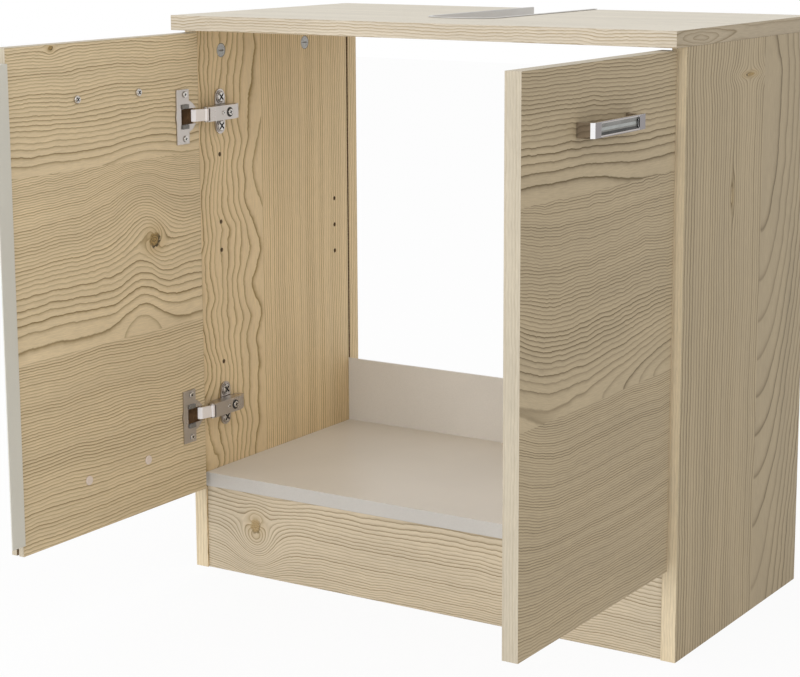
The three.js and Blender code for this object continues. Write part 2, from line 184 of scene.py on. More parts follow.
# how thin and how bold a line is for its ring's width in metres, and where in its ring it lies
lineLook = {
    "thin": (0.003, 0.10, 3.0, 24.0), "bold": (0.004, 0.10, 1.0, 0.3), "flattest": 0.12,
    "rise": (0.0, 0.92), "fall": (0.93, 1.0, 1.0, 0.0), "faintest": 0.4,
}
fibreLook = {"along": 60.0, "across": 900.0, "seed": 0.0, "detail": 3.0, "roughness": 0.7}
cloudLook = {"along": 5.0, "across": 30.0, "seed": 3.0, "detail": 2.0, "roughness": 0.5}


def makePineFigure():
    # growth lines of flat-sawn pine: they lie round a heart line, wide apart near it, and arch over one spot
    tree, given, result = newGroup(
        "pineFigure",
        {"Along": 0.0, "Across": 0.0, "Heart": 0.0, "Density": 300.0, "Arch": 0.0, "Spot": 0.0,
         "Reach": 0.05, "Wave": 0.004, "Curl": 0.001, "Power": 1.5, "Seed": 0.0},
        ("Line", "Fibre", "Cloud"),
    )
    along, across, seed = given["Along"], given["Across"], given["Seed"]

    def grainNoise(look, **settings):
        place = vectorOf(tree, times(tree, along, look["along"]), times(tree, across, look["across"]),
                         plus(tree, seed, look["seed"]))
        return noise(tree, place, **settings)

    def bend(look):
        size = calc(tree, "MULTIPLY_ADD", given[look["by"]], look["gain"], look["least"])
        return times(tree, minus(tree, grainNoise(look), 0.5), size)

    wave, curl, wobble, jag = (bend(look) for look in bendLooks.values())
    moved = plus(tree, across, wave, plus(tree, curl, wobble, jag))
    off = minus(tree, moved, given["Heart"])
    away = over(tree, minus(tree, along, given["Spot"]), given["Reach"])
    far = minus(tree, 1.0, calc(tree, "EXPONENT", times(tree, away, away, -1.0)))
    archSquare = times(tree, given["Arch"], given["Arch"])
    reach = calc(tree, "SQRT", plus(tree, times(tree, off, off), times(tree, archSquare, far)))
    field = times(tree, calc(tree, "POWER", reach, given["Power"]), given["Density"])
    ring = calc(tree, "FRACT", field)

    # a ring's width follows from how steeply the field climbs there
    lean = over(tree, times(tree, archSquare, minus(tree, 1.0, far), away), given["Reach"])
    climb = over(tree, lengthOf(tree, off, lean), reach)
    steep = calc(tree, "MAXIMUM", climb, lineLook["flattest"])
    width = over(tree, reach, times(tree, field, given["Power"], steep))
    thin = remap(tree, width, *lineLook["thin"], smooth=False)
    rise = calc(tree, "POWER", remap(tree, ring, *lineLook["rise"], smooth=False), thin)
    late = times(tree, rise, remap(tree, ring, *lineLook["fall"]))

    chance = tree.nodes.new("ShaderNodeTexWhiteNoise")
    chance.noise_dimensions = "1D"
    tree.links.new(plus(tree, calc(tree, "FLOOR", field), seed), chance.inputs["W"])
    faintest = lineLook["faintest"]
    bold = calc(tree, "MULTIPLY_ADD", chance.outputs["Value"], 1.0 - faintest, faintest)
    bold = times(tree, bold, remap(tree, width, *lineLook["bold"], smooth=False))
    tree.links.new(times(tree, late, bold), result["Line"])
    for label, look in (("Fibre", fibreLook), ("Cloud", cloudLook)):
        spread = grainNoise(look, detail=look["detail"], roughness=look["roughness"])
        tree.links.new(spread, result[label])
    return tree


# a knot's parts by their distance from its middle in radii, as limits for remap
knotLook = {
    "spread": 2.6, "push": 5.5, "roughAlong": 210.0, "roughAcross": 250.0,
    "halo": (1.0, 3.4, 1.0, 0.0), "haloShare": 0.35, "core": (0.8, 1.3, 1.0, 0.0),
    "rimInner": (0.55, 0.85), "rimOuter": (0.9, 1.2, 1.0, 0.0), "barkSide": (-0.6, 1.0, 0.15, 1.0),
    "rings": 2.6, "ringSharpness": 2.0, "ringShare": 0.9, "ringsTo": (0.6, 1.0, 1.0, 0.0),
}


def makeKnot():
    # a knot pushes the lines apart, and has a bark line round a golden core with rings of its own
    tree, given, result = newGroup(
        "knot",
        {"Along": 0.0, "Across": 0.0, "KnotAlong": 0.0, "KnotAcross": 0.0, "Radius": 0.006, "Flat": 0.7},
        ("Push", "Core", "Bark"),
    )
    du = minus(tree, given["Along"], given["KnotAlong"])
    dv = minus(tree, given["Across"], given["KnotAcross"])
    flat = times(tree, du, given["Flat"])
    girth = plus(tree, times(tree, flat, flat), times(tree, dv, dv))
    size = times(tree, given["Radius"], given["Radius"])
    spread = plus(tree, girth, times(tree, size, knotLook["spread"]))
    part = over(tree, times(tree, size, knotLook["push"]), spread)
    tree.links.new(times(tree, dv, times(tree, part, -1.0)), result["Push"])

    share = over(tree, calc(tree, "SQRT", girth), given["Radius"])
    place = vectorOf(tree, times(tree, du, knotLook["roughAlong"]),
                     times(tree, dv, knotLook["roughAcross"]), 0.0)
    edge = plus(tree, share, minus(tree, noise(tree, place), 0.5))
    halo = times(tree, remap(tree, share, *knotLook["halo"]), knotLook["haloShare"])
    core = calc(tree, "MAXIMUM", remap(tree, edge, *knotLook["core"]), halo)
    tree.links.new(core, result["Core"])

    # the bark shows most on one side
    rim = times(tree, remap(tree, edge, *knotLook["rimInner"]), remap(tree, edge, *knotLook["rimOuter"]))
    aside = over(tree, minus(tree, du, dv), given["Radius"])
    rim = times(tree, rim, remap(tree, aside, *knotLook["barkSide"]))
    ring = calc(tree, "FRACT", times(tree, edge, knotLook["rings"]))
    ring = calc(tree, "POWER", ring, knotLook["ringSharpness"])
    inside = times(tree, ring, knotLook["ringShare"], remap(tree, edge, *knotLook["ringsTo"]))
    tree.links.new(calc(tree, "MAXIMUM", rim, inside), result["Bark"])
    return tree


def makeSwell():
    # lifts the lines in a smooth hump round one place, as wide to each side as its four widths say
    tree, given, result = newGroup(
        "swell",
        {"Along": 0.0, "Across": 0.0, "SwellAlong": 0.0, "SwellAcross": 0.0, "Height": 0.01,
         "Before": 0.05, "After": 0.05, "Below": 0.05, "Above": 0.05},
        ("Push",),
    )

    def slope(place, centre, before, after):
        off = minus(tree, place, centre)
        past = calc(tree, "GREATER_THAN", off, 0.0)
        width = calc(tree, "MULTIPLY_ADD", past, minus(tree, after, before), before)
        share = over(tree, off, width)
        return times(tree, share, share)

    far = plus(tree, slope(given["Along"], given["SwellAlong"], given["Before"], given["After"]),
               slope(given["Across"], given["SwellAcross"], given["Below"], given["Above"]))
    fall = calc(tree, "EXPONENT", times(tree, far, -1.0))
    tree.links.new(times(tree, given["Height"], -1.0, fall), result["Push"])
    return tree


edgeLook = {"samples": 4, "limits": (0.985, 0.9)}


def makeEdgeMask():
    # 1 on arrises and 0 on flats, from how far a rounded normal leaves the true one
    tree, given, result = newGroup("edgeMask", {"Radius": 0.0008}, ("Mask",))
    rounded = tree.nodes.new("ShaderNodeBevel")
    rounded.samples = edgeLook["samples"]
    tree.links.new(given["Radius"], rounded.inputs["Radius"])
    flatNormal = tree.nodes.new("ShaderNodeNewGeometry").outputs["Normal"]
    facing = vectorMath(tree, "DOT_PRODUCT", rounded.outputs[0], 1, flatNormal)["Value"]
    tree.links.new(remap(tree, facing, *edgeLook["limits"]), result["Mask"])
    return tree


def makeSoftSpots():
    # slow cloudy change over a surface, for colour and gloss
    tree, given, result = newGroup("softSpots", {"Size": 0.02, "Seed": 0.0}, ("Value",))
    coords = tree.nodes.new("ShaderNodeTexCoord").outputs["Object"]
    moved = vectorMath(tree, "ADD", coords, 1, given["Seed"])[0]
    spots = tree.nodes.new("ShaderNodeTexNoise")
    spots.inputs["Detail"].default_value = 4.0
    tree.links.new(moved, spots.inputs["Vector"])
    tree.links.new(over(tree, 1.0, given["Size"]), spots.inputs["Scale"])
    tree.links.new(spots.outputs[0], result["Value"])
    return tree


pineFigure = makePineFigure()
knotGroup = makeKnot()
swellGroup = makeSwell()
edgeMask = makeEdgeMask()
softSpots = makeSoftSpots()
print("shared effects ready")


# the pine's colours, and how its surface carries them. The inner, side, outer and front tones are copies of
# one pine, lighter or darker by how each face is lit: painted light on the inner and side tones against the
# carcass's shade, painted shade on the outer tones
pineTones = {
    "inner": {"light": (0.73, 0.59, 0.38), "dark": (0.155, 0.090, 0.005)},
    "side": {"light": (0.72, 0.565, 0.345), "dark": (0.20, 0.118, 0.006)},
    "outer": {"light": (0.462, 0.364, 0.225), "dark": (0.080, 0.047, 0.003)},
    "front": {"light": (0.62, 0.525, 0.385), "dark": (0.130, 0.082, 0.008)},
    "core": (0.40, 0.265, 0.09),
    "bark": (0.035, 0.022, 0.006),
    "edge": (0.24, 0.185, 0.12),
}
pineSurface = {
    "fibre": (0.3, 0.7, 0.88, 1.09), "cloud": (0.25, 0.75, 0.93, 1.06), "gloss": (0.0, 1.0, 0.60, 0.72),
    "arris": 0.0007, "wear": 0.45, "coreGain": 1.5, "plankSeed": 11.0,
    "lineHeight": -0.6, "fibreHeight": 0.5, "bump": 0.1, "depth": 0.00010,
}
# metres in the frame: a door's grain runs along its width, a side panel's up. A plank starts at a place
# across the grain, its lines lie round the heart, and density sets how close they are
plainPlank = {"start": -1.0, "heart": -1.0, "density": 220.0, "arch": 0.0, "spot": 0.0, "reach": 0.05,
              "wave": 0.004, "curl": 0.0007, "power": 1.5, "tone": 1.0}
plankKinds = ("heart", "density", "arch", "spot", "reach", "wave", "curl", "power", "tone")
swellKinds = ("SwellAlong", "SwellAcross", "Height", "Before", "After", "Below", "Above")
knotKinds = ("KnotAlong", "KnotAcross", "Radius", "Flat")


def plankValues(tree, across, look):
    # each value steps to the next plank's where that one starts
    planks = [{**plainPlank, **plank} for plank in look["planks"]]
    values = {kind: plus(tree, 0.0, planks[0][kind]) for kind in plankKinds}
    seed = plus(tree, 0.0, look["seed"])
    for last, plank in zip(planks, planks[1:]):
        past = calc(tree, "GREATER_THAN", across, plank["start"])
        for kind in plankKinds:
            if plank[kind] != last[kind]:
                values[kind] = plus(tree, values[kind], times(tree, past, plank[kind] - last[kind]))
        seed = plus(tree, seed, times(tree, past, pineSurface["plankSeed"]))
    return values, seed


def pineMaterial(name, look):
    material, tree, shader = newMaterial(name, Roughness=0.6)
    _, axes = objectAxes(tree)
    along, across = axes[look["along"]], axes[look["across"]]
    values, seed = plankValues(tree, across, look)
    tone = values.pop("tone")
    pushed, cores, barks = across, [], []
    for swell in look.get("swells", ()):
        out = placeGroup(tree, swellGroup, Along=along, Across=across, **dict(zip(swellKinds, swell)))
        pushed = plus(tree, pushed, out["Push"])
    for *knot, depth in look.get("knots", ()):
        out = placeGroup(tree, knotGroup, Along=along, Across=across, **dict(zip(knotKinds, knot)))
        pushed = plus(tree, pushed, out["Push"])
        cores.append(times(tree, out["Core"], min(1.0, depth * pineSurface["coreGain"])))
        barks.append(times(tree, out["Bark"], depth))
    grain = placeGroup(tree, pineFigure, Along=along, Across=pushed, Seed=seed,
                       **{kind.title(): value for kind, value in values.items()})
    # a named tone picks a lit or shaded copy of the pine, painted light and shade; other finishes give their
    # own colours
    tones = pineTones.get(look.get("tones"), look)
    strength = times(tree, grain["Line"], look.get("contrast", 1.0))
    colour = mixColour(tree, strength, tones["light"], tones["dark"])
    fibreShade = remap(tree, grain["Fibre"], *pineSurface["fibre"], smooth=False)
    cloudShade = remap(tree, grain["Cloud"], *pineSurface["cloud"], smooth=False)
    shade = times(tree, fibreShade, cloudShade, tone)
    colour = vectorMath(tree, "SCALE", colour, "Scale", shade)[0]
    for masks, label in ((cores, "core"), (barks, "bark")):
        mask = masks[0] if masks else None
        for other in masks[1:]:
            mask = calc(tree, "MAXIMUM", mask, other)
        if masks:
            colour = mixColour(tree, mask, colour, pineTones[label])
    # arrises are mixed towards the darker edge colour
    arrisMask = placeGroup(tree, edgeMask, Radius=pineSurface["arris"])["Mask"]
    colour = mixColour(tree, times(tree, arrisMask, pineSurface["wear"]), colour, pineTones["edge"])
    tree.links.new(colour, shader.inputs["Base Color"])
    tree.links.new(remap(tree, grain["Line"], *pineSurface["gloss"]), shader.inputs["Roughness"])
    height = plus(tree, times(tree, grain["Line"], pineSurface["lineHeight"]),
                  times(tree, grain["Fibre"], pineSurface["fibreHeight"]))
    bump(tree, shader, height, pineSurface["bump"], pineSurface["depth"])
    return material


boardSurface = {
    "fineGrain": 0.0008, "slowGrain": 0.12, "slowSeed": 4.0, "fine": (0.3, 0.7, 0.97, 1.03),
    "slow": (0.3, 0.7, 0.975, 1.025), "glossFrom": (0.25, 0.75), "arris": 0.0006, "wear": 0.3,
    "bump": 0.15, "relief": 0.00004,
}


def boardMaterial(name, look):
    # plain laminate or moulded plastic with a faint print
    material, tree, shader = newMaterial(name, Roughness=0.45)
    grain = look.get("grain", boardSurface["fineGrain"])
    fine = placeGroup(tree, softSpots, Size=grain, Seed=look["seed"])["Value"]
    slow = placeGroup(tree, softSpots, Size=boardSurface["slowGrain"],
                      Seed=look["seed"] + boardSurface["slowSeed"])["Value"]
    shade = times(tree, remap(tree, fine, *boardSurface["fine"]), remap(tree, slow, *boardSurface["slow"]))
    scaled = tree.nodes.new("ShaderNodeVectorMath")
    scaled.operation = "SCALE"
    scaled.inputs[0].default_value = look["colour"]
    tree.links.new(shade, scaled.inputs["Scale"])
    arrisMask = placeGroup(tree, edgeMask, Radius=boardSurface["arris"])["Mask"]
    colour = mixColour(tree, times(tree, arrisMask, boardSurface["wear"]), scaled.outputs[0], look["colour"])
    tree.links.new(colour, shader.inputs["Base Color"])
    gloss = remap(tree, fine, *boardSurface["glossFrom"], *look["gloss"])
    tree.links.new(gloss, shader.inputs["Roughness"])
    bump(tree, shader, fine, boardSurface["bump"], look.get("relief", boardSurface["relief"]))
    return material


chipLook = {"dark": (0.20, 0.13, 0.07), "light": (0.36, 0.26, 0.15), "scale": 700.0, "roughness": 0.85,
            "bump": 0.5, "depth": 0.0003}


def chipMaterial():
    # raw particle board in bores, grooves and unseen edges
    material, tree, shader = newMaterial("rawBoard", Roughness=chipLook["roughness"])
    coords, _ = objectAxes(tree)
    chips = tree.nodes.new("ShaderNodeTexVoronoi")
    chips.inputs["Scale"].default_value = chipLook["scale"]
    tree.links.new(coords, chips.inputs["Vector"])
    split = tree.nodes.new("ShaderNodeSeparateColor")
    tree.links.new(chips.outputs["Color"], split.inputs[0])
    colour = mixColour(tree, split.outputs[0], chipLook["dark"], chipLook["light"])
    tree.links.new(colour, shader.inputs["Base Color"])
    bump(tree, shader, chips.outputs["Distance"], chipLook["bump"], chipLook["depth"])
    return material


metalSurface = {"stainFrom": (0.3, 0.7), "glossFrom": (0.25, 0.75), "wear": 0.5, "depth": 0.00003}


def metalMaterial(name, look):
    # plated metal: fine polishing haze, and brighter arrises as a painted highlight
    look = {**plainMetal, **look}
    material, tree, shader = newMaterial(name, Metallic=look["metallic"])
    haze = placeGroup(tree, softSpots, Size=look["haze"], Seed=look["seed"])["Value"]
    arrisMask = placeGroup(tree, edgeMask, Radius=look["rim"])["Mask"]
    stained = remap(tree, haze, *metalSurface["stainFrom"])
    colour = mixColour(tree, stained, look["colour"], look["stain"])
    # the arrises are painted brighter, a painted highlight
    colour = mixColour(tree, times(tree, arrisMask, metalSurface["wear"]), colour, look["arrisHighlight"])
    tree.links.new(colour, shader.inputs["Base Color"])
    gloss = remap(tree, haze, *metalSurface["glossFrom"], *look["gloss"])
    tree.links.new(gloss, shader.inputs["Roughness"])
    bump(tree, shader, haze, look["relief"], metalSurface["depth"])
    return material


plainBand = {"across": "x", "contrast": 0.5, "light": (0.525, 0.462, 0.355), "dark": (0.32, 0.25, 0.15),
             "planks": [{"density": 190.0, "wave": 0.0015}]}
finishes = {
    "leftDoorInner": {"tones": "inner", "along": "y", "across": "z", "seed": 1.0, "planks": [
        {"heart": -0.2, "density": 316.0, "wave": 0.004, "tone": 0.98},
        {"start": 0.292, "heart": 0.292, "density": 1080.0, "power": 1.9, "arch": 0.0335, "spot": -0.120,
         "reach": 0.036, "wave": 0.003, "curl": 0.0016, "tone": 1.02},
        {"start": 0.478, "heart": 0.455, "density": 900.0, "power": 1.8, "wave": 0.004, "curl": 0.0012,
         "tone": 1.01}],
        "swells": [(-0.113, 0.44, 0.013, 0.055, 0.032, 0.06, 0.045),
                   (-0.106, 0.368, 0.009, 0.045, 0.016, 0.035, 0.06)],
        "knots": [(-0.098, 0.390, 0.0074, 0.85, 1.0), (-0.251, 0.6025, 0.0024, 0.7, 0.9)]},
    "leftDoorOuter": {"tones": "outer", "along": "y", "across": "z", "seed": 31.0, "planks": [
        {"heart": 0.06, "density": 420.0, "arch": 0.04, "spot": -0.1, "wave": 0.005},
        {"start": 0.29, "heart": 0.31, "density": 380.0, "arch": 0.06, "spot": -0.2, "reach": 0.08,
         "tone": 1.02},
        {"start": 0.47, "heart": 0.40, "density": 320.0, "arch": 0.03, "spot": -0.09, "wave": 0.006,
         "tone": 0.98}],
        "knots": [(-0.21, 0.41, 0.005, 0.7, 1.0)]},
    "rightDoorOuter": {"tones": "outer", "along": "y", "across": "z", "seed": 52.0, "planks": [
        {"heart": -0.2, "density": 440.0, "wave": 0.003, "tone": 0.98},
        {"start": 0.300, "heart": 0.300, "density": 640.0, "arch": 0.039, "spot": -0.013, "reach": 0.128,
         "wave": 0.003, "curl": 0.0016, "tone": 0.99},
        {"start": 0.4925, "heart": 0.486, "density": 1000.0, "power": 1.8, "arch": 0.02, "spot": -0.24,
         "reach": 0.1, "wave": 0.003, "curl": 0.0010, "tone": 0.99}],
        "swells": [(-0.348, 0.34, 0.027, 0.07, 0.06, 0.2, 0.16)]},
    "rightDoorInner": {"tones": "inner", "along": "y", "across": "z", "seed": 77.0, "planks": [
        {"heart": 0.04, "density": 480.0, "arch": 0.035, "spot": -0.2, "wave": 0.004},
        {"start": 0.28, "heart": 0.29, "density": 400.0, "arch": 0.055, "spot": -0.17, "reach": 0.08,
         "tone": 1.01},
        {"start": 0.47, "heart": 0.36, "density": 300.0, "arch": 0.04, "spot": -0.1, "wave": 0.006,
         "tone": 0.98}],
        "knots": [(-0.17, 0.36, 0.005, 0.7, 1.0)]},
    # the left side's inner planks take tones 1.11 and 1.13, painted light against the carcass's shade
    "leftSideInner": {"tones": "side", "along": "z", "across": "y", "seed": 5.0, "planks": [
        {"heart": 0.128, "density": 215.0, "arch": 0.03, "spot": 0.44, "reach": 0.08, "wave": 0.022,
         "curl": 0.0034, "tone": 1.11},
        {"start": 0.105, "heart": -0.60, "density": 190.0, "wave": 0.0015, "tone": 1.13}]},
    "leftSideOuter": {"tones": "outer", "along": "z", "across": "y", "seed": 91.0, "planks": [
        {"heart": 0.11, "density": 300.0, "arch": 0.03, "spot": 0.3, "reach": 0.09, "wave": 0.007},
        {"start": 0.12, "heart": -0.4, "density": 220.0, "wave": 0.0015, "tone": 1.02},
        {"start": 0.22, "heart": 0.23, "density": 240.0, "arch": 0.03, "spot": 0.4, "reach": 0.08,
         "wave": 0.008, "tone": 0.98}],
        "knots": [(0.42, 0.18, 0.005, 0.7, 1.0)]},
    "rightSideOuter": {"tones": "outer", "along": "z", "across": "y", "seed": 14.0, "planks": [
        {"heart": -0.60, "density": 135.0, "wave": 0.003, "tone": 0.97},
        {"start": 0.177, "heart": 0.177, "density": 470.0, "power": 2.0, "arch": 0.1495, "spot": 0.52,
         "reach": 0.36, "wave": 0.005, "curl": 0.0026, "tone": 0.87}],
        "swells": [(0.20, 0.22, 0.008, 0.05, 0.04, 0.05, 0.05)],
        "knots": [(0.5735, 0.1400, 0.0095, 5.0, 0.8), (0.456, 0.1035, 0.0030, 0.3, 0.25)]},
    "rightSideInner": {"tones": "inner", "along": "z", "across": "y", "seed": 66.0, "planks": [
        {"heart": -0.5, "density": 180.0, "wave": 0.002, "tone": 1.02},
        {"start": 0.13, "heart": 0.12, "density": 210.0, "arch": 0.03, "spot": 0.35, "reach": 0.08,
         "wave": 0.008, "tone": 0.98}]},
    "plinthFace": {"tones": "front", "along": "x", "across": "z", "seed": 23.0, "planks": [
        {"heart": 0.118, "density": 760.0, "arch": 0.035, "spot": -0.2, "reach": 0.06, "wave": 0.003,
         "curl": 0.0009}],
        "swells": [(-0.217, 0.040, -0.018, 0.030, 0.022, 0.035, 0.022),
                   (-0.168, 0.065, 0.007, 0.03, 0.06, 0.04, 0.04)],
        "knots": [(-0.217, 0.058, 0.0076, 1.15, 0.5)]},
    "topFace": {"along": "x", "across": "y", "seed": 44.0, "contrast": 0.12, "light": (0.685, 0.63, 0.525),
                "dark": (0.50, 0.43, 0.33), "planks": [
        {"heart": -0.2, "density": 210.0},
        {"start": 0.12, "heart": 0.1, "density": 320.0, "arch": 0.03, "reach": 0.1}]},
    "frontBand": {"along": "x", "across": "z", "seed": 47.0, "contrast": 1.0, "light": (0.61, 0.54, 0.43),
                  "dark": (0.27, 0.18, 0.07), "planks": [
        {"heart": 0.4, "density": 460.0, "wave": 0.0035, "curl": 0.0014}]},
    "sideBand": {"along": "y", "across": "z", "seed": 48.0, "contrast": 0.8, "light": (0.42, 0.34, 0.23),
                 "dark": (0.15, 0.10, 0.03), "planks": [
        {"heart": 0.616, "density": 320.0, "power": 1.0, "arch": 0.010, "spot": 0.02, "reach": 0.06,
         "wave": 0.004}]},
    "uprightBand": {**plainBand, "along": "z", "seed": 60.0},
    "doorEndBand": {**plainBand, "along": "y", "seed": 63.0},
    "sideEdgeBand": {**plainBand, "along": "z", "seed": 61.0, "light": (0.792, 0.664, 0.459),
                     "dark": (0.38, 0.27, 0.13)},
}
materials = {name: pineMaterial(name, look) for name, look in finishes.items()}

# plain boards, edgings and plastics
plainLooks = {
    # the shelf's faces and the back strip's face are painted lighter, painted light against the shade inside
    # the carcass
    "shelfFace": {"colour": (0.68, 0.63, 0.56), "gloss": (0.36, 0.44), "seed": 2.0},
    "shelfBand": {"colour": (0.53, 0.51, 0.48), "gloss": (0.38, 0.46), "seed": 3.0},
    "stripFace": {"colour": (0.65, 0.615, 0.565), "gloss": (0.40, 0.48), "seed": 6.0},
    "greyEdging": {"colour": (0.633, 0.619, 0.555), "gloss": (0.40, 0.5), "seed": 8.0, "grain": 0.0005,
                   "relief": 0.00006},
    "paleEdging": {"colour": (0.60, 0.585, 0.56), "gloss": (0.40, 0.5), "seed": 9.0, "grain": 0.0005,
                   "relief": 0.00006},
    "capPlastic": {"colour": (0.75, 0.64, 0.56), "gloss": (0.35, 0.45), "seed": 10.0},
    "springCover": {"colour": (0.17, 0.16, 0.145), "gloss": (0.25, 0.35), "seed": 12.0},
    # black for screw recesses and the arm's well: painted shade
    "slotShade": {"colour": (0.02, 0.018, 0.016), "gloss": (0.5, 0.6), "seed": 13.0},
}
materials.update({name: boardMaterial(name, look) for name, look in plainLooks.items()})
materials["rawBoard"] = chipMaterial()

# handles, hinges, screws and cams
plainMetal = {"metallic": 1.0, "haze": 0.03, "rim": 0.0006, "relief": 0.01}
metalLooks = {
    "polishedChrome": {"colour": (0.50, 0.455, 0.43), "stain": (0.46, 0.42, 0.395),
                       "arrisHighlight": (0.72, 0.70, 0.69), "gloss": (0.04, 0.08), "relief": 0.004, "seed": 15.0},
    # handle bands: a painted highlight on the bevels, painted reflections on the rim and in the trough, and
    # painted shade at the trough's foot and ends
    "highlightChrome": {"colour": (0.95, 0.94, 0.94), "stain": (0.90, 0.89, 0.89),
                     "arrisHighlight": (0.97, 0.97, 0.97), "gloss": (0.03, 0.06), "relief": 0.004, "seed": 19.0},
    "rimReflectionChrome": {"colour": (0.27, 0.25, 0.25), "stain": (0.24, 0.22, 0.22), "arrisHighlight": (0.5, 0.49, 0.49),
                  "gloss": (0.08, 0.14), "relief": 0.004, "seed": 24.0},
    "troughUpperReflection": {"colour": (0.21, 0.205, 0.19), "stain": (0.17, 0.165, 0.15),
                    "arrisHighlight": (0.34, 0.34, 0.32), "gloss": (0.2, 0.3), "haze": 0.012, "seed": 20.0},
    "troughLineReflection": {"colour": (0.36, 0.37, 0.355), "stain": (0.30, 0.31, 0.295),
                     "arrisHighlight": (0.5, 0.5, 0.48), "gloss": (0.2, 0.3), "haze": 0.012, "seed": 25.0},
    "troughShade": {"colour": (0.05, 0.048, 0.045), "stain": (0.035, 0.033, 0.03),
                    "arrisHighlight": (0.12, 0.12, 0.11), "gloss": (0.2, 0.3), "haze": 0.012, "seed": 26.0},
    "nickelPlate": {"colour": (0.53, 0.485, 0.445), "stain": (0.49, 0.448, 0.41),
                    "arrisHighlight": (0.80, 0.76, 0.72), "gloss": (0.26, 0.32), "rim": 0.0005, "seed": 16.0},
    # the link is painted near white and only partly metallic, a painted highlight in place of reflections
    "linkNickelHighlight": {"colour": (0.90, 0.86, 0.85), "stain": (0.86, 0.82, 0.81), "arrisHighlight": (0.93, 0.90, 0.89),
                   "gloss": (0.3, 0.36), "rim": 0.0005, "relief": 0.005, "seed": 21.0, "metallic": 0.3},
    # the cup's hollow is painted a lighter brown, painted light against the shade inside it
    "cupInside": {"colour": (0.44, 0.33, 0.23), "stain": (0.36, 0.27, 0.19), "arrisHighlight": (0.5, 0.4, 0.3),
                  "gloss": (0.35, 0.45), "haze": 0.006, "rim": 0.0005, "seed": 22.0},
    "screwPlate": {"colour": (0.66, 0.63, 0.59), "stain": (0.5, 0.47, 0.43), "arrisHighlight": (0.9, 0.88, 0.85),
                   "gloss": (0.12, 0.22), "haze": 0.0015, "rim": 0.0004, "relief": 0.04, "seed": 17.0},
    "castZinc": {"colour": (0.42, 0.41, 0.39), "stain": (0.30, 0.29, 0.27), "arrisHighlight": (0.66, 0.65, 0.62),
                 "gloss": (0.35, 0.5), "haze": 0.0012, "rim": 0.0005, "relief": 0.15, "seed": 18.0},
}
materials.update({name: metalMaterial(name, look) for name, look in metalLooks.items()})
print("materials ready:", len(materials))

# sizes in metres and angles in degrees that the modelling helpers share
shapeLook = {"weld": 0.00002, "flatAngle": 0.5, "bevelAngle": 35.0, "smoothAngle": 32.0, "skin": 0.0007,
             "roundSides": 40}


# modelling helpers
def only(*objects):
    bpy.ops.object.select_all(action="DESELECT")
    for item in objects:
        item.select_set(True)
    bpy.context.view_layer.objects.active = objects[0]


def editAll(action):
    bpy.ops.object.mode_set(mode="EDIT")
    bpy.ops.mesh.select_all(action="SELECT")
    action()
    bpy.ops.object.mode_set(mode="OBJECT")


def applyModifier(piece, kind, **settings):
    only(piece)
    modifier = piece.modifiers.new(kind.title(), kind)
    for label, value in settings.items():
        setattr(modifier, label, value)
    bpy.ops.object.modifier_apply(modifier=modifier.name)


def roundEdges(piece, width, segments=2):
    applyModifier(piece, "BEVEL", width=width, segments=segments, limit_method="ANGLE",
                  angle_limit=radians(shapeLook["bevelAngle"]), harden_normals=False)
    only(piece)
    bpy.ops.object.shade_smooth_by_angle(angle=radians(shapeLook["smoothAngle"]))
    # keeps the large flat faces even up to their rounded edges
    applyModifier(piece, "WEIGHTED_NORMAL", keep_sharp=True)


def newPiece(name, data):
    piece = bpy.data.objects.new(name, data)
    bpy.context.scene.collection.objects.link(piece)
    return piece


def cleanCopy(node, name):
    # a merged copy of a node's loose triangles, with its flat faces made whole again
    piece = newPiece(name, nodes[node].data.copy())
    piece.data.materials.clear()
    only(piece)

    def merge():
        bpy.ops.mesh.remove_doubles(threshold=shapeLook["weld"])
        bpy.ops.mesh.dissolve_limited(angle_limit=radians(shapeLook["flatAngle"]))

    editAll(merge)
    return piece


def settle(piece, node):
    # the piece stands for its node and moves with the node's body
    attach(piece, bodyOf[node])
    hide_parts(node)


def addOn(piece, node):
    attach(piece, bodyOf[node])


def paint(piece, finish):
    piece.data.materials.clear()
    piece.data.materials.append(materials[finish])


def paintBoard(piece, node, rules):
    # outer faces take the finish of the way they look, and bores and grooves the raw board
    low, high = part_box(node)
    names = [*dict.fromkeys(rules.values()), "rawBoard"]
    piece.data.materials.clear()
    for name in names:
        piece.data.materials.append(materials[name])
    for face in piece.data.polygons:
        axis = max(range(3), key=lambda i: abs(face.normal[i]))
        way = ("+" if face.normal[axis] > 0 else "-") + "xyz"[axis]
        gaps = [min(abs(face.center[i] - low[i]), abs(face.center[i] - high[i])) for i in range(3)]
        known = min(gaps) < shapeLook["skin"] and way in rules
        face.material_index = names.index(rules[way]) if known else len(names) - 1


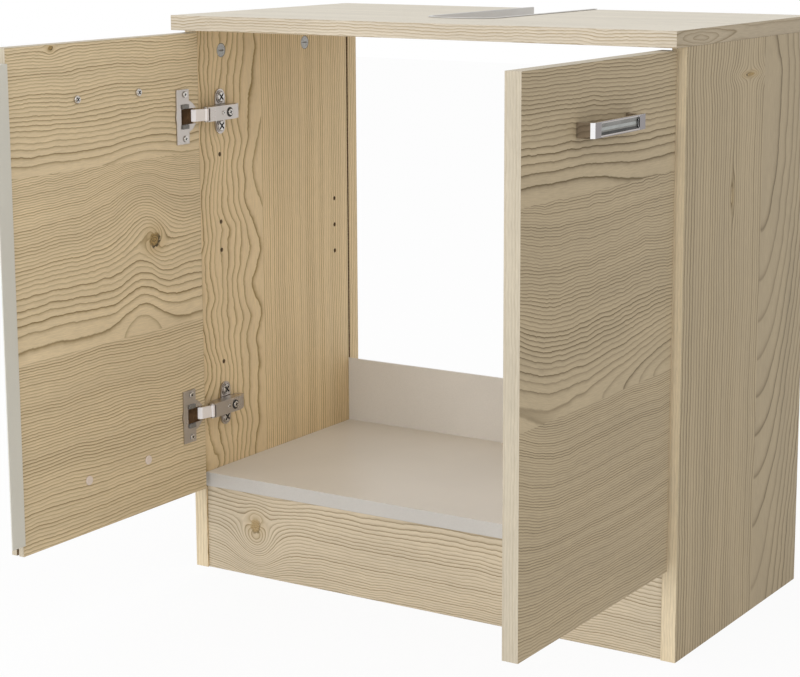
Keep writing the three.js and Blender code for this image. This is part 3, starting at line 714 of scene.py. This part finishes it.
# boards, each a rounded copy of its node with a finish for every way it looks
boards = {
    "left_side_panel": {"name": "leftSidePanel", "round": 0.0005, "rules": {
        "+x": "leftSideInner", "-x": "leftSideOuter", "-y": "sideEdgeBand", "+y": "sideEdgeBand"}},
    "right_side_panel": {"name": "rightSidePanel", "round": 0.0005, "rules": {
        "+x": "rightSideOuter", "-x": "rightSideInner", "-y": "sideEdgeBand", "+y": "sideEdgeBand"}},
    "top_panel": {"name": "topPanel", "round": 0.0006, "rules": {
        "+z": "topFace", "-z": "topFace", "-y": "frontBand", "+y": "frontBand",
        "+x": "sideBand", "-x": "sideBand"}},
    "bottom_shelf": {"name": "bottomShelf", "round": 0.0005, "rules": {
        "+z": "shelfFace", "-z": "shelfFace", "-y": "shelfBand", "+y": "shelfBand"}},
    "plinth": {"name": "plinthBoard", "round": 0.0005, "rules": {
        "-y": "plinthFace", "+y": "plinthFace", "+z": "rawBoard", "-z": "rawBoard"}},
    "back_strip": {"name": "backStrip", "round": 0.0003, "rules": {
        "-y": "stripFace", "+y": "stripFace", "+z": "stripFace"}},
    "left_door": {"name": "leftDoor", "round": 0.0006, "rules": {
        "+x": "leftDoorInner", "-x": "leftDoorOuter", "+y": "uprightBand", "-y": "uprightBand",
        "+z": "doorEndBand", "-z": "doorEndBand"}},
    "right_door": {"name": "rightDoor", "round": 0.0006, "rules": {
        "-x": "rightDoorInner", "+x": "rightDoorOuter", "+y": "uprightBand", "-y": "uprightBand",
        "+z": "doorEndBand", "-z": "doorEndBand"}},
}
for node, look in boards.items():
    board = cleanCopy(node, look["name"])
    roundEdges(board, look["round"])
    paintBoard(board, node, look["rules"])
    settle(board, node)
print("boards done")

# the cut-out's edging and the closing strip between the doors
strips = {
    "cutout_edging": {"name": "cutoutEdging", "round": 0.0003, "finish": "paleEdging"},
    "closing_strip": {"name": "closingStrip", "round": 0.0005, "finish": "greyEdging"},
}
for node, look in strips.items():
    strip = cleanCopy(node, look["name"])
    roundEdges(strip, look["round"])
    paint(strip, look["finish"])
    settle(strip, node)
print("strips done")

# the handles' bars: a trough along the front, painted in bands of painted reflection and painted shade, and
# bevels at the ends painted bright as a painted highlight
handleLook = {
    "round": 0.0005, "segments": 3, "rimDepth": 0.0002, "troughDepth": 0.0024, "troughHalf": 0.0054,
    "troughFrom": 0.0145, "bevelDepth": 0.0036, "lineHigh": 0.0010, "lineLow": -0.0012,
    "shadeFrom": -0.0028, "endShade": 0.0022, "slanted": 0.5, "square": 0.9,
    "finishes": ("polishedChrome", "rimReflectionChrome", "highlightChrome", "troughUpperReflection", "troughLineReflection",
                 "troughShade"),
}


def handleFinish(face, front, middle, troughEnd):
    # painted highlights on the bevels, a darker front rim as a painted reflection, and a trough of painted
    # reflections with a pale line, painted shade black at its foot and ends
    look = handleLook
    depth = front - abs(face.center[0])
    rise = face.center[2] - middle[2]
    slant = min(abs(face.normal[0]), abs(face.normal[1])) > look["slanted"]
    if slant and depth < look["bevelDepth"]:
        return "highlightChrome"
    if look["rimDepth"] < depth < look["troughDepth"] and abs(rise) < look["troughHalf"]:
        nearEnd = troughEnd - abs(face.center[1] - middle[1]) < look["endShade"]
        if nearEnd or rise < look["shadeFrom"]:
            return "troughShade"
        return "troughLineReflection" if look["lineLow"] < rise < look["lineHigh"] else "troughUpperReflection"
    onRim = depth < look["rimDepth"] and abs(face.normal[0]) > look["square"]
    return "rimReflectionChrome" if onRim else "polishedChrome"


for side in sides:
    node = f"{side}_handle"
    low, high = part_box(node)
    middle = (low + high) / 2
    front = max(abs(low[0]), abs(high[0]))
    troughEnd = (high[1] - low[1]) / 2 - handleLook["troughFrom"]
    bow = cleanCopy(node, f"{side}HandleBow")
    roundEdges(bow, handleLook["round"], handleLook["segments"])
    for finish in handleLook["finishes"]:
        bow.data.materials.append(materials[finish])
    for face in bow.data.polygons:
        finish = handleFinish(face, front, middle, troughEnd)
        face.material_index = handleLook["finishes"].index(finish)
    settle(bow, node)
print("handles done")

# cup hinges: cup, link, arm and plate. The hinge side of the open doors lies at hingeEdge along y
hingeLook = {
    "round": 0.0003, "cup": "nickelPlate", "link": "linkNickelHighlight", "arm": "nickelPlate",
    "plate": "nickelPlate", "inside": "cupInside", "insideRadius": 0.0170, "insideDepth": 0.0012,
    "hingeEdge": -0.0183, "cupFromEdge": 0.0225,
}
for side in sides:
    for level in levels:
        for part in ("cup", "link", "arm", "plate"):
            node = f"{side}_{level}_hinge_{part}"
            piece = cleanCopy(node, f"{side}{level.title()}Hinge{part.title()}")
            roundEdges(piece, hingeLook["round"])
            paint(piece, hingeLook[part])
            # faces deep in the cup's hollow take the lighter brown, painted light against its shade
            if part == "cup":
                piece.data.materials.append(materials[hingeLook["inside"]])
                low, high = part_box(node)
                flange = min(abs(low[0]), abs(high[0]))
                cupAt = hingeLook["hingeEdge"] - hingeLook["cupFromEdge"]
                centre = Vector((0.0, cupAt, (low[2] + high[2]) / 2))
                for face in piece.data.polygons:
                    off = face.center - centre
                    off[0] = 0.0
                    deep = abs(face.center[0]) - flange > hingeLook["insideDepth"]
                    face.material_index = int(deep and off.length < hingeLook["insideRadius"])
            settle(piece, node)
print("hinges done")


# screw heads with crossed recesses, painted black inside as painted shade
screwLooks = {
    "plate": {"radius": 0.0056, "height": 0.0016, "recess": 0.0096, "blade": 0.0021, "turn": 45},
    "cup": {"radius": 0.0034, "height": 0.0010, "recess": 0.0036, "blade": 0.0009, "turn": 20},
    "handle": {"radius": 0.0042, "height": 0.0022, "recess": 0.0052, "blade": 0.0013, "turn": 40},
    "adjust": {"radius": 0.0022, "height": 0.0007, "recess": 0.0028, "blade": 0.0007, "turn": 20},
    "fixing": {"radius": 0.0036, "height": 0.0012, "recess": 0.0046, "blade": 0.0012, "turn": 20},
}
# shares of the head's height and of the recess's length, and the slopes that tell its faces apart
headShape = {"dome": 0.45, "domeSteps": 4, "bladeHeight": 1.3, "below": 0.97, "within": 0.52,
             "upward": 0.9, "downward": -0.5, "smoothAngle": 30.0, "finish": "screwPlate"}


def addCylinder(radius, depth, height):
    bpy.ops.object.select_all(action="DESELECT")
    bpy.ops.mesh.primitive_cylinder_add(vertices=shapeLook["roundSides"], radius=radius, depth=depth,
                                        location=(0, 0, height))
    bpy.ops.object.transform_apply(location=True)
    return bpy.context.object


def cutAway(piece, tool):
    applyModifier(piece, "BOOLEAN", operation="DIFFERENCE", solver="EXACT", object=tool)
    bpy.data.objects.remove(tool)


def crossHead(look):
    # a low domed head along +Z with its underside at the origin, and a cross recess cut in it, painted black
    # inside as painted shade
    height = look["height"]
    head = addCylinder(look["radius"], height, height / 2)
    bpy.ops.object.mode_set(mode="EDIT")
    bpy.ops.mesh.select_mode(type="FACE")
    bpy.ops.mesh.select_all(action="DESELECT")
    bpy.ops.object.mode_set(mode="OBJECT")
    for face in head.data.polygons:
        face.select = face.normal.z > headShape["upward"]
    bpy.ops.object.mode_set(mode="EDIT")
    bpy.ops.mesh.bevel(offset=height * headShape["dome"], segments=headShape["domeSteps"], affect="EDGES")
    bpy.ops.object.mode_set(mode="OBJECT")
    for turn in (0, 90):
        bpy.ops.object.select_all(action="DESELECT")
        bpy.ops.mesh.primitive_cube_add(size=1.0, location=(0, 0, height))
        blade = bpy.context.object
        blade.scale = (look["recess"], look["blade"], height * headShape["bladeHeight"])
        blade.rotation_euler.z = radians(turn + look["turn"])
        bpy.ops.object.transform_apply(location=True, rotation=True, scale=True)
        cutAway(head, blade)
    # the recess's walls and floor take the black of painted shade
    for finish in (headShape["finish"], "slotShade"):
        head.data.materials.append(materials[finish])
    for face in head.data.polygons:
        low = face.center.z < height * headShape["below"] and face.normal.z > headShape["downward"]
        within = face.center.xy.length < look["recess"] * headShape["within"]
        face.material_index = int(low and within)
    only(head)
    bpy.ops.object.shade_smooth_by_angle(angle=radians(headShape["smoothAngle"]))
    return head


def standOn(model, name, axis, seat):
    # a copy of a model along +Z, turned to point along an axis, with its mesh at the seat
    piece = newPiece(name, model.data.copy())
    turn = Vector((0, 0, 1)).rotation_difference(Vector(axis)).to_matrix().to_4x4()
    piece.data.transform(Matrix.Translation(seat) @ turn)
    return piece


def headSeat(node, axis, height):
    # the middle of a screw's end face on that axis, less the head's height
    low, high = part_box(node)
    seat = (low + high) / 2
    along = max(range(3), key=lambda i: abs(axis[i]))
    seat[along] = (high if axis[along] > 0 else low)[along] - axis[along] * height
    return seat


heads = {kind: crossHead(look) for kind, look in screwLooks.items()}
for side, sign in sides.items():
    inward = (-sign, 0, 0)
    jobs = [(f"{side}_{level}_{kind}_screw_{i}", kind) for kind in ("plate", "cup") for level in levels
            for i in (1, 2)]
    jobs += [(f"{side}_handle_screw_{i}", "handle") for i in (1, 2)]
    for node, kind in jobs:
        seat = headSeat(node, inward, screwLooks[kind]["height"])
        plainName = "".join(word.title() for word in node.split("_"))
        shank = cleanCopy(node, "shankOf" + plainName)
        head = standOn(heads[kind], "screw" + plainName, inward, seat)
        only(shank)
        editAll(lambda: bpy.ops.mesh.bisect(plane_co=seat, plane_no=inward, clear_outer=True, use_fill=True))
        only(head, shank)
        bpy.ops.object.join()
        settle(head, node)
print("screws done")

# what the hinges carry besides: screws and a well on the arm, the well a flat ring painted black as painted
# shade, rings round the plate's screws, spring covers
detailLook = {
    "adjustAt": 0.015, "fixingAt": 0.027, "wellAt": 0.0264,
    "well": {"inner": 0.0010, "outer": 0.0054, "height": 0.0003},
    "ring": {"inner": 0.0060, "outer": 0.0072, "height": 0.0009}, "ringRound": 0.4, "ringSteps": 3,
    "sideInner": 0.284, "plateFoot": 0.0021,
    "cover": {"near": 0.0195, "far": 0.0305, "from": 0.0086, "to": 0.0134, "height": 0.0018,
              "sunk": 0.0001, "round": 0.0007},
}


def slab(name, low, high, width):
    # a box between two corners with rounded edges
    bpy.ops.object.select_all(action="DESELECT")
    middle = [(a + b) / 2 for a, b in zip(low, high)]
    bpy.ops.mesh.primitive_cube_add(size=1.0, location=middle)
    piece = bpy.context.object
    piece.name = name
    piece.scale = [abs(b - a) for a, b in zip(low, high)]
    bpy.ops.object.transform_apply(location=True, rotation=True, scale=True)
    roundEdges(piece, width)
    return piece


def ringModel(look):
    # a flat ring along +Z with its underside at the origin
    height = look["height"]
    ring = addCylinder(look["outer"], height, height / 2)
    cutAway(ring, addCylinder(look["inner"], height * 3, 0))
    roundEdges(ring, height * detailLook["ringRound"], detailLook["ringSteps"])
    return ring


plateRing, wellModel = ringModel(detailLook["ring"]), ringModel(detailLook["well"])
for side, sign in sides.items():
    inward = (-sign, 0, 0)
    for level in levels:
        stem = f"{side}{level.title()}"
        arm = f"{side}_{level}_hinge_arm"
        armLow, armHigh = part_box(arm)
        armTop = sign * min(abs(armLow[0]), abs(armHigh[0]))
        height = (armLow[2] + armHigh[2]) / 2
        for kind in ("adjust", "fixing"):
            seat = Vector((armTop, detailLook[kind + "At"], height))
            screw = standOn(heads[kind], f"{stem}Arm{kind.title()}Screw", inward, seat)
            addOn(screw, arm)
        # the well is a flat ring painted black, painted shade
        well = standOn(wellModel, f"{stem}ArmWell", inward, Vector((armTop, detailLook["wellAt"], height)))
        paint(well, "slotShade")
        addOn(well, arm)
        plate = f"{side}_{level}_hinge_plate"
        for i in (1, 2):
            screwLow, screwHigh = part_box(f"{side}_{level}_plate_screw_{i}")
            seat = (screwLow + screwHigh) / 2
            seat[0] = sign * (detailLook["sideInner"] - detailLook["plateFoot"])
            ring = standOn(plateRing, f"{stem}PlateRing{i}", inward, seat)
            paint(ring, "polishedChrome")
            addOn(ring, plate)
        cup = f"{side}_{level}_hinge_cup"
        cupLow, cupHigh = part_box(cup)
        flange = min(abs(cupLow[0]), abs(cupHigh[0]))
        cover = detailLook["cover"]
        for i, way in enumerate((1, -1), 1):
            inner = (sign * (flange + cover["sunk"]), hingeLook["hingeEdge"] - cover["far"],
                     height + way * cover["from"])
            outer = (sign * (flange - cover["height"]), hingeLook["hingeEdge"] - cover["near"],
                     height + way * cover["to"])
            lid = slab(f"{stem}SpringCover{i}", inner, outer, cover["round"])
            paint(lid, "springCover")
            addOn(lid, cup)
for model in (plateRing, wellModel, *heads.values()):
    bpy.data.objects.remove(model)
print("hinge details done")

# cams with their bolts, and the cover caps
fittingLook = {
    "cam": {"round": 0.0004, "segments": 2, "finish": "castZinc"},
    "cap": {"round": 0.0006, "segments": 4, "finish": "capPlastic"},
}
for side in sides:
    fittings = {}
    for place in ("front", "rear"):
        fittings[f"{side}_{place}_cam"] = ("cam", f"{side}{place.title()}Cam")
        fittings[f"{side}_{place}_cam_bolt"] = ("cam", f"{side}{place.title()}CamBolt")
    for i in (1, 2):
        fittings[f"{side}_cover_cap_{i}"] = ("cap", f"{side}CoverCap{i}")
    for node, (kind, name) in fittings.items():
        piece = cleanCopy(node, name)
        roundEdges(piece, fittingLook[kind]["round"], fittingLook[kind]["segments"])
        paint(piece, fittingLook[kind]["finish"])
        settle(piece, node)
print("cams and caps done")


# floor, light and camera
def whiteForEyes(tree):
    # 1 for camera, mirror and clear rays
    path = tree.nodes.new("ShaderNodeLightPath").outputs
    mirrors = calc(tree, "MAXIMUM", path["Is Glossy Ray"], path["Is Transmission Ray"])
    return calc(tree, "MAXIMUM", path["Is Camera Ray"], mirrors)


floorLook = {"size": 14.0, "colour": (0.86, 0.86, 0.86), "white": 0.92, "speck": 0.5,
             "gloss": (0.2, 0.8, 0.85, 0.95)}
bpy.ops.object.select_all(action="DESELECT")
bpy.ops.mesh.primitive_plane_add(size=floorLook["size"], location=(0, 0, 0))
floor = bpy.context.object
floor.name = "studioFloor"
material, tree, shader = newMaterial("studioFloor", Roughness=0.9)
feed(tree, shader.inputs["Base Color"], floorLook["colour"])
speck = placeGroup(tree, softSpots, Size=floorLook["speck"], Seed=1.0)["Value"]
tree.links.new(remap(tree, speck, *floorLook["gloss"]), shader.inputs["Roughness"])
paper = tree.nodes.new("ShaderNodeEmission")
feed(tree, paper.inputs["Color"], (1, 1, 1))
blend = tree.nodes.new("ShaderNodeMixShader")
tree.links.new(times(tree, whiteForEyes(tree), floorLook["white"]), blend.inputs[0])
tree.links.new(shader.outputs[0], blend.inputs[1])
tree.links.new(paper.outputs[0], blend.inputs[2])
tree.links.new(blend.outputs[0], tree.nodes["Material Output"].inputs["Surface"])
floor.data.materials.append(material)

worldLook = {"fill": 0.86, "seen": 1.0}
world = bpy.data.worlds.new("studio")
bpy.context.scene.world = world
world.use_nodes = True
tree = world.node_tree
background = tree.nodes["Background"]
feed(tree, background.inputs["Color"], (1, 1, 1))
more = worldLook["seen"] - worldLook["fill"]
strength = calc(tree, "MULTIPLY_ADD", whiteForEyes(tree), more, worldLook["fill"])
tree.links.new(strength, background.inputs["Strength"])

lamps = {
    "frontPanel": {"at": (-0.25, -2.9, 1.5), "size": 1.5, "power": 32.0},
    "leftPanel": {"at": (-2.6, -1.2, 1.8), "size": 1.8, "power": 6.0},
}
lampTarget = Vector((0, 0, 0.3))
for name, look in lamps.items():
    light = bpy.data.lights.new(name, "AREA")
    light.size = look["size"]
    light.energy = look["power"]
    lamp = newPiece(name, light)
    lamp.visible_camera = False
    lamp.location = look["at"]
    lamp.rotation_euler = (lampTarget - lamp.location).to_track_quat("-Z", "Y").to_euler()

cameraLook = {
    "at": (1.12451, -1.79506, 0.73617),
    "right": (0.847844, 0.530241, -0.002138),
    "back": (0.521798, -0.833614, 0.181147),
    "lens": 92.994,
    "sensor": 36.0,
    "shift": (-0.03, -0.06),
}
lensData = bpy.data.cameras.new("photoCamera")
lensData.lens = cameraLook["lens"]
lensData.sensor_width = cameraLook["sensor"]
lensData.shift_x, lensData.shift_y = cameraLook["shift"]
camera = newPiece("photoCamera", lensData)
right, back = Vector(cameraLook["right"]), Vector(cameraLook["back"])
axes = Matrix((right, back.cross(right), back)).transposed().to_4x4()
camera.matrix_world = Matrix.Translation(cameraLook["at"]) @ axes
bpy.context.scene.camera = camera
bpy.context.scene.view_settings.view_transform = "Standard"
print("floor, light and camera ready")
